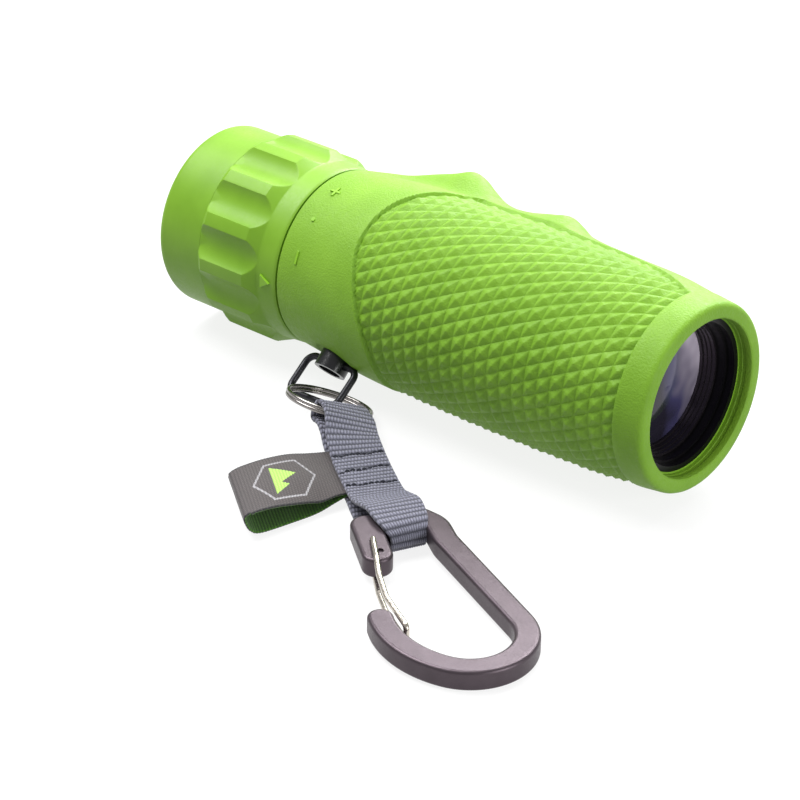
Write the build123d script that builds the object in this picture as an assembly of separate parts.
from build123d import *
import math
import os

# A handheld monocular with a wrist strap, lying on its side as it would be put down on a table.
# +X runs along the optical axis towards the objective, the origin is the centre of the objective's front lip,
# +Z is up, and the table is at z = TABLE_Z. Angles about +X are measured from +Y towards +Z.
TABLE_Z = -20.0

# rubber armour
LIP_OUTER_R = 18.0
LIP_INNER_R = 14.92
LIP_DEPTH = 2.96
BAND_R = 18.4
BODY_MAX_R = 20.0
SEAM_X = -87.6
SEAM_R = 17.6
SHELL_R = 15.9
SHELL_BORE_R = 14.6
REST_ANGLE = 50.0
REST_CREST_R = 7.0

# focusing mechanism
NECK_R = 14.9
NECK_BORE_R = 13.6
NECK_END_X = -104.6
FOCUS_BORE_R = 14.97
FOCUS_CORE_R = 16.2
LOBE_R = 19.6
LOBE_COUNT = 13
LOBE_ANGLE = 14.7
SCOOP_R = 5.0
VALLEY_R = 18.05
FOCUS_TURN = 94.0
FOCUS_TRAVEL = 3.0
PIN_X = -94.6
PIN_ANGLE = 126.0
PIN_R = 0.75
CUP_R = 18.3
CUP_END_X = -119.2

# optics
OBJECTIVE_R = 12.5
PRISM_SIDE = 12.5
CAGE_FRONT_X = -39.0
CAGE_LENGTH = 20.0

# strap stud and bail
STUD_X = -75.8
STUD_ANGLE = 223.0
STUD_R = 3.25
STUD_SHANK_R = 1.7
STUD_FOOT = 17.0
STUD_TOP = 21.5
BAIL_PIVOT = 19.6
BAIL_WIRE_R = 0.7
BAIL_WIDTH = 13.3
BAIL_LENGTH = 8.3
BAIL_ANGLE = 218.0
BAIL_YAW = 6.6
BAIL_CORNER_R = 1.9
POCKET_R = 18.65

# split ring
RING_R = 8.1
RING_CENTRE = Vector(-68.9, -23.15, -16.0)
RING_NORMAL = Vector(0.043, 0.388, 0.921)
RING_TURN_R = 0.42
RING_TURN_PITCH = 0.34

# strap webbing and label
STRAP_WIDTH = 10.2
LABEL_WIDTH = 16.0
LABEL_BASE = Vector(-51.9, -39.5, TABLE_Z)
LABEL_HEADING = -103.5
LABEL_ALONG = (0.81, -0.58, 0)

# carabiner, in its own frame: a along the spine, b towards the spine, c up through the bar
CLIP_ORIGIN = Vector(-9.5, -61.6, TABLE_Z + 2.6)
CLIP_HEADING = -22.0
CLIP_TILT = 1.8
CLIP_BAR = 4.5
CLIP_THICK = 3.8
CLIP_EDGE_R = 0.7
SPINE_B = 10.0
BOW_CENTRE_A = 12.3
BOW_R = 9.8
BOW_END_ANGLE = 50.0
HOOK_NOSE = (2.0, -10.9)
REAR_CORNER = (-25.0, 8.8)
LOBE_START = (-24.9, -0.6)
LOBE_END = (-15.6, -2.9)
LOBE_WIDTH = 5.5
GATE_PIVOT = (-19.2, -2.0)
GATE_WIRE_R = 0.52
GATE_HOLE_R = 0.59


def tube(x0, x1, outer, inner=0.0):
    """A round tube about the optical axis between two stations."""
    body = Cylinder(outer, x1 - x0)
    if inner:
        body -= Cylinder(inner, x1 - x0 + 1)
    return Pos((x0 + x1) / 2, 0, 0) * Rot(0, 90, 0) * body


def turned(*points):
    """A solid of revolution about the optical axis from (station, radius) points."""
    return revolve(make_face(Polyline(*points, close=True)), Axis.X)


def radial_rod(x, angle, inner, outer, radius):
    """A round rod standing along a radius of the barrel."""
    rod = Rot(90, 0, 0) * Cylinder(radius, outer - inner)
    return Rot(angle, 0, 0) * Pos(x, (inner + outer) / 2, 0) * rod


def radial_block(x, angle, inner, outer, size_x, size_t):
    """A square block standing along a radius of the barrel."""
    return Rot(angle, 0, 0) * Pos(x, (inner + outer) / 2, 0) * Box(size_x, outer - inner, size_t)


def polar(radius, angle, x=0.0):
    """The point at a station, radius and angle about the optical axis."""
    turn = math.radians(angle)
    return Vector(x, radius * math.cos(turn), radius * math.sin(turn))


# ------------------------------------------------------------------ rubber armour
def finger_rest(tail_x, foot_x, crest_x, front_x, crest_r, foot_r):
    """A fin that rises gently from the eye end and drops steeply towards the objective."""
    floor_r = 17.0
    rise = Spline((tail_x, foot_r - 0.4), (foot_x, (foot_r + crest_r) / 2 - 0.3), (crest_x, crest_r),
                  tangents=[(1, 0.05), (1, 0)])
    drop = Spline((crest_x, crest_r), ((crest_x + front_x) / 2 + 0.6, (crest_r + foot_r) / 2),
                  (front_x, foot_r - 0.4), tangents=[(1, 0), (1, -0.15)])
    base = Polyline((front_x, foot_r - 0.4), (front_x, floor_r), (tail_x, floor_r), (tail_x, foot_r - 0.4))
    side = make_face([rise, drop] + base.edges())
    fin = extrude(side, REST_CREST_R, both=True)
    crown = Rot(0, 90, 0) * Cylinder(REST_CREST_R, 80)
    fin &= Pos((tail_x + front_x) / 2, crest_r - REST_CREST_R, 0) * crown
    return Rot(REST_ANGLE, 0, 0) * fin


def focus_marks():
    """Raised plus, dot and minus on the shoulder in front of the focus grip."""
    x = -83.0
    low = 17.6
    high = 18.42
    plus = radial_block(x, 108, low, high, 2.4, 0.5) + radial_block(x, 108, low, high, 0.5, 2.4)
    dot = radial_rod(x, 131, low, high, 0.45)
    minus = radial_block(x, 156, low, high, 0.45, 2.6)
    return plus + dot + minus


def armour_sleeve():
    crown = Spline((-6, BAND_R), (-12, 19.25), (-22, 19.7), (-40, BODY_MAX_R), (-60, 19.75), (-71, 19.3),
                   (-84, 18.0), (SEAM_X, SEAM_R))
    front = Polyline((-LIP_DEPTH, SHELL_R), (-LIP_DEPTH, LIP_INNER_R), (0, LIP_INNER_R), (0, 17.2))
    edge = ThreePointArc((0, 17.2), (-0.3, 17.75), (-1.0, LIP_OUTER_R))
    band = Line((-1.0, LIP_OUTER_R), (-6, BAND_R))
    rear = Polyline((SEAM_X, SEAM_R), (SEAM_X, SHELL_R), (-LIP_DEPTH, SHELL_R))
    sleeve = revolve(make_face([crown, edge, band] + front.edges() + rear.edges()), Axis.X)
    sleeve += finger_rest(-84, -75, -66, -56, 24.6, 19.8)
    sleeve += finger_rest(-55, -48, -41.5, -33.5, 23.0, 20.1)
    sleeve += focus_marks()
    sleeve -= tube(-96, -LIP_DEPTH, SHELL_R)
    sleeve -= Rot(STUD_ANGLE, 0, 0) * Pos(STUD_X, POCKET_R + 1, 0) * Rot(0, BAIL_YAW, 0) * Box(17, 2, 3.6)
    return sleeve - radial_rod(STUD_X, STUD_ANGLE, 15, 20, 4.1)


# ------------------------------------------------------------------ shell and objective
def main_barrel():
    shell = turned((-4.2, SHELL_BORE_R), (-4.2, SHELL_R), (-87.0, SHELL_R), (-87.0, NECK_R),
                   (NECK_END_X, NECK_R), (NECK_END_X, NECK_BORE_R), (-86.0, NECK_BORE_R),
                   (-86.0, SHELL_BORE_R))
    shell += radial_rod(STUD_X, STUD_ANGLE, 15.2, STUD_FOOT, 4.0)
    shell -= radial_rod(STUD_X, STUD_ANGLE, 13, 18, STUD_SHANK_R)
    shell -= tube(-104.0, -103.1, 20, 14.3)
    shell -= tube(-90.9, -89.7, 20, 14.3)
    slot_length = FOCUS_TRAVEL + 2 * PIN_R + 0.3
    shell -= radial_block(PIN_X - FOCUS_TRAVEL / 2, PIN_ANGLE, 12, 16, slot_length, 2 * PIN_R + 0.12)
    for angle in (90, 210, 330):
        shell -= radial_rod(CAGE_FRONT_X - CAGE_LENGTH / 2, angle, 13, 17, 1.0)
    return shell


def objective_cell():
    cell = turned((-LIP_DEPTH, 13.56), (-LIP_DEPTH, 15.7), (-4.2, 15.7), (-4.2, 14.55), (-5.0, 14.55),
                  (-5.0, 13.8), (-5.8, 13.8), (-5.8, 14.55), (-17.0, 14.55), (-17.0, 11.6), (-14.3, 11.6),
                  (-14.3, 13.0), (-4.6, 13.0), (-4.6, 13.56))
    return cell


def objective_retaining_ring():
    return turned((-6.4, 12.4), (-6.4, 12.95), (-9.3, 12.95), (-9.3, 11.7), (-8.8, 11.7), (-8.8, 12.0),
                  (-8.0, 12.0), (-8.0, 12.2), (-7.2, 12.2), (-7.2, 12.4))


def sphere_station(vertex, edge, rim, radius):
    """Where a spherical surface, given by its vertex and rim stations, stands at a radius."""
    sag = vertex - edge
    bend = (rim * rim + sag * sag) / (2 * sag)
    return vertex - bend + math.copysign(math.sqrt(bend * bend - radius * radius), bend)


def lens(front_vertex, front_edge, back_edge, back_vertex, rim):
    """A round lens between two spherical surfaces."""
    front = ThreePointArc((front_vertex, 0), (sphere_station(front_vertex, front_edge, rim, rim / 2), rim / 2),
                          (front_edge, rim))
    back = ThreePointArc((back_edge, rim), (sphere_station(back_vertex, back_edge, rim, rim / 2), rim / 2),
                         (back_vertex, 0))
    rim_line = Line((front_edge, rim), (back_edge, rim))
    axis_line = Line((back_vertex, 0), (front_vertex, 0))
    return revolve(make_face([front, rim_line, back, axis_line]), Axis.X)


def baffle_tube():
    """A matt tube with ridges that step inwards along the cone of light."""
    front_x = -17.4
    rear_x = CAGE_FRONT_X + 0.4
    body = tube(rear_x, front_x, 14.5, 13.6)
    for step in range(5):
        x = front_x - 3.0 - step * 4.0
        body += tube(x - 0.6, x, 14.0, 11.8 - 0.9 * step)
    return body


# ------------------------------------------------------------------ prisms
def prism_section(points, width):
    """A prism standing across the barrel, from (distance behind the cage front, height) points."""
    places = [(CAGE_FRONT_X - 2.0 - depth, height) for depth, height in points]
    face = Plane.XZ * make_face(Polyline(*places, close=True))
    return extrude(face, width / 2, both=True)


def half_penta_prism():
    half = PRISM_SIDE / 2
    return prism_section([(0, half), (0, -half), (12.5, -11.4), (15.1, half - 15.1)], PRISM_SIDE)


def roof_prism():
    """The prism behind the air gap, with its long side ground to a right-angled roof."""
    gap = 0.4
    body = prism_section([(15.9, half_gap_height(15.9, gap)), (15.9, 11.3), (1.2, half_gap_height(1.2, gap))],
                         PRISM_SIDE)
    ridge_rear = Vector(CAGE_FRONT_X - 2.0 - 15.9, 0, 11.3)
    ridge_front = Vector(CAGE_FRONT_X - 2.0 - 1.2, 0, half_gap_height(1.2, gap))
    slope = math.degrees(math.atan2(ridge_rear.Z - ridge_front.Z, ridge_front.X - ridge_rear.X))
    roof = Rot(45, 0, 0) * Box(60, 30, 30)
    roof = Pos(0, 0, -15 * math.sqrt(2)) * roof
    return body & (Pos((ridge_rear + ridge_front) * 0.5) * Rot(0, slope, 0) * roof)


def half_gap_height(depth, gap):
    """Height of the roof prism's entry face at a depth behind the cage front."""
    return PRISM_SIDE / 2 + gap * math.sqrt(2) - depth


def prism_cage():
    rear_x = CAGE_FRONT_X - CAGE_LENGTH
    cage = tube(rear_x, CAGE_FRONT_X, 14.5)
    cage -= Pos(CAGE_FRONT_X - CAGE_LENGTH / 2, 0, 0) * Box(CAGE_LENGTH - 3.0, PRISM_SIDE + 0.1, 40)
    cage -= tube(rear_x - 1, CAGE_FRONT_X + 1, 5.6)
    for angle in (90, 210, 330):
        cage -= radial_rod(CAGE_FRONT_X - CAGE_LENGTH / 2, angle, 12.9, 16, 0.95)
    return cage


def prism_clips():
    """Two spring-steel straps across the cage, over and under the prisms."""
    x = CAGE_FRONT_X - 4.2
    clip = Rot(0, 90, 0) * (Cylinder(14.5, 3.2) - Cylinder(14.1, 4))
    clip &= Box(10, PRISM_SIDE - 0.2, 60)
    clip = Pos(x, 0, 0) * clip
    return clip


def cage_screws():
    screws = Part()
    for angle in (90, 210, 330):
        screw = radial_rod(CAGE_FRONT_X - CAGE_LENGTH / 2, angle, 13.0, 15.85, 0.93)
        screws += screw - radial_rod(CAGE_FRONT_X - CAGE_LENGTH / 2, angle, 15.2, 17, 0.4)
    return screws


# ------------------------------------------------------------------ focus ring
def focus_ring_core():
    """The ring under the grip, with the helical cam groove that drives the guide pin."""
    core = tube(-103.0, -88.0, FOCUS_CORE_R, FOCUS_BORE_R)
    steps = 30
    for step in range(steps + 1):
        part = step / steps
        angle = PIN_ANGLE + part * FOCUS_TURN
        core -= radial_rod(PIN_X - part * FOCUS_TRAVEL, angle, 13, 15.75, PIN_R + 0.16)
    for end in (-2.0, FOCUS_TURN + 2.0):
        part = min(max(end / FOCUS_TURN, 0.0), 1.0)
        core -= radial_rod(PIN_X - part * FOCUS_TRAVEL, PIN_ANGLE + end, 13, 15.75, PIN_R + 0.16)
    return core


def focus_grip():
    """Fluted rubber ring: raised pads between scooped valleys, then a plain collar with a raised arrow."""
    grip = turned((-87.9, FOCUS_CORE_R), (-87.9, 17.75), (-91.2, 18.1), (-93.6, 19.2), (-95.2, LOBE_R),
                  (-105.4, LOBE_R), (-106.8, 19.0), (-107.3, 18.4), (-107.3, FOCUS_CORE_R))
    scoop = Pos(-99.9, 0, 0) * Rot(0, 90, 0) * Cylinder(SCOOP_R, 15.2)
    scoop = scoop.moved(Location((0, VALLEY_R + SCOOP_R, 0)))
    for lobe in range(LOBE_COUNT):
        angle = LOBE_ANGLE + (lobe + 0.5) * 360 / LOBE_COUNT
        grip -= Rot(angle, 0, 0) * scoop
    arrow = extrude(Plane.XZ * make_face(Polyline((-89.2, 0), (-91.4, 1.3), (-91.4, -1.3), close=True)), -1.2)
    grip += Rot(178, 0, 0) * Pos(0, 17.0, 0) * arrow
    return grip


# ------------------------------------------------------------------ eyepiece
def eyepiece_tube():
    tube_body = turned((-66.0, 12.2), (-66.0, NECK_BORE_R - 0.07), (-107.7, NECK_BORE_R - 0.07),
                       (-107.7, 16.3), (-110.2, 16.3), (-110.2, 15.0), (-114.6, 15.0), (-114.6, 12.2))
    return tube_body - radial_rod(PIN_X, PIN_ANGLE, 11, 14, PIN_R)


def eyepiece_pieces():
    """Lenses, stops and rings inside the eyepiece tube, by name."""
    pieces = {}
    pieces["field_stop"] = turned((-77.0, 8.0), (-77.0, 12.15), (-78.0, 12.15), (-78.0, 8.4))
    pieces["field_lens"] = lens(-84.2, -86.2, -88.6, -90.6, 12.1)
    pieces["eyepiece_spacer"] = tube(-85.8, -78.1, 12.15, 11.2)
    pieces["eye_group_spacer"] = tube(-101.2, -88.95, 12.15, 11.2)
    pieces["eye_lens_flint"] = lens(-102.2, -101.3, -103.4, -105.8, 12.1)
    pieces["eye_lens_crown"] = lens(-105.8, -103.4, -107.4, -109.2, 12.1)
    pieces["eye_lens_retainer"] = turned((-107.5, 11.2), (-107.5, 12.15), (-112.0, 12.15), (-112.0, 11.6))
    return pieces


def eyecup():
    cup_side = Spline((-117.6, CUP_R), (-118.7, 17.9), (CUP_END_X, 16.7), tangents=[(-1, 0), (0, -1)])
    bowl = Spline((CUP_END_X, 16.7), (-118.3, 15.3), (-114.9, 13.2), tangents=[(0, -1), (1, -1)])
    rest = Polyline((-114.9, 13.2), (-114.9, 15.05), (-110.3, 15.05), (-110.3, 16.35), (-107.7, 16.35),
                    (-107.7, CUP_R), (-117.6, CUP_R))
    return revolve(make_face([cup_side, bowl] + rest.edges()), Axis.X)


# ------------------------------------------------------------------ stud and bail
def bail_pivot():
    """Frame at the bail's hole through the stud: its x axis lies along the hole."""
    return Rot(STUD_ANGLE, 0, 0) * Pos(STUD_X, BAIL_PIVOT, 0) * Rot(0, BAIL_YAW, 0)


def strap_stud():
    stud = radial_rod(STUD_X, STUD_ANGLE, STUD_FOOT, STUD_TOP, STUD_R)
    stud += radial_rod(STUD_X, STUD_ANGLE, 14.7, STUD_FOOT + 0.2, STUD_SHANK_R)
    stud -= radial_rod(STUD_X, STUD_ANGLE, STUD_TOP - 0.6, STUD_TOP + 1, 2.3)
    return stud - bail_pivot() * Rot(0, 90, 0) * Cylinder(BAIL_WIRE_R + 0.07, 12)


def bail():
    """A closed wire rectangle whose top bar runs through the stud."""
    path = Pos(0, BAIL_LENGTH / 2, 0) * RectangleRounded(BAIL_WIDTH, BAIL_LENGTH, BAIL_CORNER_R).wire()
    start = Plane(origin=path.position_at(0), z_dir=path.tangent_at(0))
    wire = sweep(start * Circle(BAIL_WIRE_R), path=path)
    return bail_pivot() * Rot(BAIL_ANGLE - STUD_ANGLE, 0, 0) * wire


# ------------------------------------------------------------------ split ring
def ring_frame():
    """Plane of the split ring: its x axis points right and down, its y axis away from the strap."""
    normal = RING_NORMAL.normalized()
    view = Vector(0.585, -0.658, 0.4745)
    return Plane(origin=RING_CENTRE, x_dir=normal.cross(view).normalized(), z_dir=normal)


def ring_point(angle):
    """A point on the split ring's centre line."""
    turn = math.radians(angle)
    frame = ring_frame()
    return RING_CENTRE + frame.x_dir * (RING_R * math.cos(turn)) + frame.y_dir * (RING_R * math.sin(turn))


def split_ring():
    """Two close turns of round wire, seen as one ring with a groove around it."""
    turns = Pos(RING_R, RING_TURN_PITCH, 0) * Circle(RING_TURN_R)
    turns += Pos(RING_R, -RING_TURN_PITCH, 0) * Circle(RING_TURN_R)
    ring = revolve(Plane.XZ * turns, Axis.Z)
    return ring_frame().location * ring


# ------------------------------------------------------------------ carabiner
def clip_location():
    return Pos(CLIP_ORIGIN) * Rot(0, 0, CLIP_HEADING) * Rot(0, CLIP_TILT, 0)


def clip_outline(grow=0.0):
    """Flat outline of the hook: a bent bar of even width, ending in the gate's lobe."""
    turn = math.radians(BOW_END_ANGLE)
    bow_low = (BOW_CENTRE_A + BOW_R * math.cos(turn), SPINE_B - BOW_R - BOW_R * math.sin(turn))
    bow = CenterArc((BOW_CENTRE_A, SPINE_B - BOW_R), BOW_R, -BOW_END_ANGLE, 90 + BOW_END_ANGLE)
    hook = TangentArc(bow_low, HOOK_NOSE, tangent=(-math.sin(turn), -math.cos(turn)))
    spine = FilletPolyline((BOW_CENTRE_A, SPINE_B), (-15.0, SPINE_B), (-20.2, 10.9), REAR_CORNER, LOBE_START,
                           radius=[8.0, 5.0, 3.0])
    centre_line = Wire([hook, bow] + spine.edges())
    bar = make_face(centre_line.offset_2d(CLIP_BAR / 2 + grow, side=Side.BOTH, closed=True))
    reach = math.dist(LOBE_START, LOBE_END)
    lean = math.degrees(math.atan2(LOBE_END[1] - LOBE_START[1], LOBE_END[0] - LOBE_START[0]))
    middle = ((LOBE_START[0] + LOBE_END[0]) / 2, (LOBE_START[1] + LOBE_END[1]) / 2)
    lobe = Pos(*middle) * Rot(0, 0, lean) * SlotCenterToCenter(reach, LOBE_WIDTH + 2 * grow)
    return bar + lobe


def carabiner_body():
    body = extrude(clip_outline(), CLIP_THICK / 2, both=True)
    rims = body.edges().filter_by(Plane.XY)
    body = fillet(rims, CLIP_EDGE_R)
    for side in (1, -1):
        body -= Pos(*GATE_PIVOT, side * 1.4) * Cylinder(GATE_HOLE_R, 2.0)
    body -= Pos(GATE_PIVOT[0] + 3.4, GATE_PIVOT[1] - 0.3, CLIP_THICK / 2) * Cylinder(0.7, 0.8)
    return clip_location() * body


def carabiner_gate():
    """One bent spring wire: a leg above and a leg below the hook, joined by an upright end at the nose."""
    upper = [(*GATE_PIVOT, 0.9), (*GATE_PIVOT, 2.46), (-13.4, -4.15, 2.42), (-9.0, -5.8, 1.9), (-3.0, -7.4, 1.5),
             (6.3, -8.2, 1.5)]
    lower = [(a, b, -c) for a, b, c in reversed(upper)]
    bends = [0.56, 3, 3, 8, 0.8]
    path = FilletPolyline(*(upper + lower), radius=bends + bends[::-1])
    start = Plane(origin=upper[0], z_dir=(0, 0, 1))
    return clip_location() * sweep(start * Circle(GATE_WIRE_R), path=path, transition=Transition.ROUND)


# ------------------------------------------------------------------ strap and label
def strap_section(x, y, height, heading, roll, width, thick):
    """A cross-section of the strap, standing across its run at a height above the table."""
    place = Pos(x, y, TABLE_Z + height) * Rot(0, 0, heading) * Rot(roll, 0, 0)
    return place * (Plane.YZ * Rectangle(width, thick))


def strap_webbing():
    """A folded band: an eye round the split ring, a sewn middle, and an eye round the carabiner."""
    full = STRAP_WIDTH
    wide = STRAP_WIDTH + 3
    band = loft([strap_section(-65.8, -25.2, 4.2, -18.4, -23.4, full, 2.6),
                 strap_section(-64.8, -25.5, 4.3, -18.4, -23.4, full, 4.2),
                 strap_section(-60.9, -27.0, 4.3, -23.0, -20.0, full, 4.2),
                 strap_section(-56.8, -30.3, 3.0, -36.0, -8.0, full, 3.4),
                 strap_section(-52.3, -33.3, 2.0, -34.6, 0.0, full, 2.8),
                 strap_section(-42.5, -40.1, 2.0, -33.0, 0.0, full, 3.0),
                 strap_section(-36.8, -43.9, 2.5, -30.0, 0.0, full, 4.6),
                 strap_section(-32.6, -45.9, 3.25, -29.0, 0.0, full, 6.4),
                 strap_section(-28.6, -48.0, 3.25, -26.0, 0.0, 9.4, 6.4),
                 strap_section(-25.8, -49.4, 3.2, -25.0, 0.0, 7.4, 5.7)], ruled=True)
    ring_eye = loft([strap_section(-65.0, -25.45, 4.3, -18.4, -23.4, wide, 1.4),
                     strap_section(-64.1, -25.7, 4.3, -18.4, -23.4, wide, 2.6),
                     strap_section(-60.9, -27.0, 4.3, -23.0, -20.0, wide, 2.6),
                     strap_section(-56.8, -30.3, 3.0, -36.0, -8.0, wide, 1.7),
                     strap_section(-53.4, -32.5, 2.2, -34.8, 0.0, wide, 0.3)], ruled=True)
    clip_eye = loft([strap_section(-40.8, -41.3, 2.1, -33.0, 0.0, wide, 0.3),
                     strap_section(-36.8, -43.9, 2.5, -30.0, 0.0, wide, 2.9),
                     strap_section(-32.6, -45.9, 3.3, -29.0, 0.0, wide, 5.1),
                     strap_section(-28.6, -48.0, 3.3, -26.0, 0.0, wide, 5.1),
                     strap_section(-26.8, -48.9, 3.3, -25.0, 0.0, wide, 4.4)], ruled=True)
    bar_room = clip_location() * extrude(clip_outline(0.55), CLIP_THICK / 2 + 0.55, both=True)
    ring_room = ring_frame().location * Torus(RING_R, 1.1)
    return band - ring_eye - clip_eye - bar_room - ring_room - label_ribbon(0.08)


def label_ribbon(grow=0.0):
    """The label's folded ribbon, with a tongue that is sewn between the strap's plies."""
    outer = [(-3.0, 1.6 - grow), (0.2, 1.6 - grow), (6, 0.05), (17, 0.05), (20, 0.9), (21.4, 2.8), (20.6, 4.9),
             (18, 5.7), (9, 4.9), (0.2, 2.5 + grow), (-3.0, 2.5 + grow)]
    face = Plane.XZ * make_face(Polyline(*outer, close=True))
    ribbon = extrude(face, LABEL_WIDTH / 2 + grow, dir=label_skew(), both=True)
    return Pos(LABEL_BASE) * Rot(0, 0, LABEL_HEADING) * ribbon


def label_skew():
    """The direction of the label's fold, seen from the label's own heading."""
    turn = math.radians(-LABEL_HEADING)
    along_x = LABEL_ALONG[0] * math.cos(turn) - LABEL_ALONG[1] * math.sin(turn)
    along_y = LABEL_ALONG[0] * math.sin(turn) + LABEL_ALONG[1] * math.cos(turn)
    return Vector(along_x, along_y, 0)


def strap_label():
    """A short ribbon folded back on itself, its two ends sewn into the strap."""
    inner = [(2.5, 2.0), (6.2, 0.7), (16.8, 0.7), (19.4, 1.4), (20.6, 2.9), (20.0, 4.3), (17.9, 5.05), (9, 4.2),
             (2.5, 2.4)]
    face = Plane.XZ * make_face(Polyline(*inner, close=True))
    hollow = extrude(face, LABEL_WIDTH, dir=label_skew(), both=True)
    return label_ribbon() - Pos(LABEL_BASE) * Rot(0, 0, LABEL_HEADING) * hollow


# ------------------------------------------------------------------ assembly
def objective_parts():
    pieces = {}
    pieces["objective_cell"] = objective_cell()
    pieces["objective_retaining_ring"] = objective_retaining_ring()
    pieces["objective_crown_lens"] = lens(-7.7, -9.6, -11.2, -13.0, OBJECTIVE_R)
    pieces["objective_flint_lens"] = lens(-13.0, -11.2, -14.2, -14.7, OBJECTIVE_R)
    pieces["objective_seal_ring"] = Pos(-5.4, 0, 0) * Rot(0, 90, 0) * Torus(14.2, 0.38)
    pieces["baffle_tube"] = baffle_tube()
    return pieces


def prism_parts():
    return {"prism_cage": prism_cage(), "half_penta_prism": half_penta_prism(), "roof_prism": roof_prism(),
            "prism_clips": prism_clips(), "cage_screws": cage_screws()}


def focus_parts():
    pieces = {"focus_ring_core": focus_ring_core(), "focus_grip": focus_grip()}
    pieces["focus_damping_ring"] = Pos(-90.3, 0, 0) * Rot(0, 90, 0) * Torus(14.64, 0.31)
    clip = tube(-103.95, -103.15, 15.6, 14.35)
    pieces["focus_circlip"] = clip - radial_block(-103.5, 270, 10, 20, 4, 4)
    pieces["eyepiece_tube"] = eyepiece_tube()
    pieces["guide_pin"] = radial_rod(PIN_X, PIN_ANGLE, 12.4, 15.6, PIN_R)
    pieces["eyecup"] = eyecup()
    pieces.update(eyepiece_pieces())
    return pieces


def strap_parts():
    return {"strap_stud": strap_stud(), "bail": bail(), "split_ring": split_ring(),
            "strap_webbing": strap_webbing(), "strap_label": strap_label(),
            "carabiner_body": carabiner_body(), "carabiner_gate": carabiner_gate()}


os.makedirs("parts", exist_ok=True)
nodes = {"armour_sleeve": armour_sleeve(), "main_barrel": main_barrel()}
nodes.update(objective_parts())
nodes.update(prism_parts())
nodes.update(focus_parts())
nodes.update(strap_parts())
for name, shape in nodes.items():
    export_step(shape, "parts/" + name + ".step")
